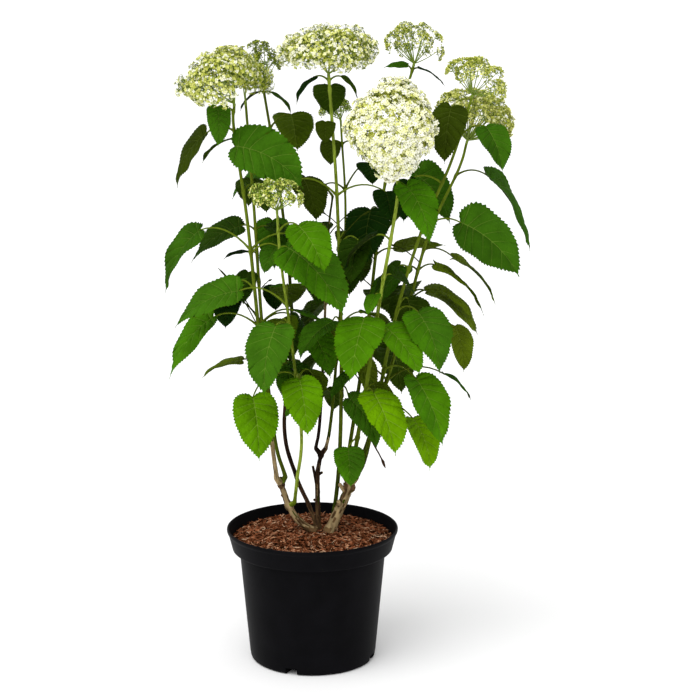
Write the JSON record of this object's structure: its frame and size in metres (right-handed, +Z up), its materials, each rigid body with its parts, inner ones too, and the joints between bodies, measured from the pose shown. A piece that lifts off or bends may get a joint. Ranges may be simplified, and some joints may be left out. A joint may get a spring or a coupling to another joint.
{
  "type": "potted annabelle smooth hydrangea",
  "caption": "Multi-stemmed smooth hydrangea in a round black nursery pot, with heart-shaped toothed leaves and domed creamy-white and lime flower heads",
  "frame": {"origin": "centre of the pot's flat underside, which stands on the ground", "axes": "+Z up along the pot's axis, -Y towards the viewer of the picture, +X to the viewer's right"},
  "size_m": [0.5452, 0.3731, 0.9565],
  "materials": {
    "pot_plastic": "matt black moulded plastic",
    "compost": "rough red-brown bark and coir fibre",
    "bark": "flaky grey-brown bark, smooth olive green above",
    "leaf": "satin green leaves with sunk veins",
    "cream_florets": "matt creamy-white petals, lime at the edges",
    "lime_florets": "matt lime-green buds and petals"
  },
  "bodies": {
    "root": {"pot": "pot_plastic", "soil": "compost", "left_stem": "bark", "centre_stem": "bark", "right_stem": "bark", "left_front_cane": "bark", "left_rear_cane": "bark", "inner_left_cane": "bark", "front_shoot_cane": "bark", "centre_cane": "bark", "centre_rear_cane": "bark", "centre_front_cane": "bark", "right_front_cane": "bark", "right_rear_cane": "bark", "right_inner_cane": "bark", "right_outer_cane": "bark", "left_front_foliage": "leaf", "left_rear_foliage": "leaf", "inner_left_foliage": "leaf", "front_shoot_foliage": "leaf", "centre_foliage": "leaf", "centre_rear_foliage": "leaf", "centre_front_foliage": "leaf", "right_front_foliage": "leaf", "right_rear_foliage": "leaf", "right_inner_foliage": "leaf", "right_outer_foliage": "leaf", "left_front_flower_head": "cream_florets", "left_rear_flower_head": "cream_florets", "centre_front_flower_head": "cream_florets", "right_front_flower_head": "cream_florets", "inner_left_flower_head": "lime_florets", "front_shoot_flower_head": "lime_florets", "centre_rear_flower_head": "lime_florets", "right_rear_flower_head": "lime_florets", "right_inner_flower_head": "lime_florets", "right_outer_flower_head": "lime_florets"}
  },
  "joints": []
}
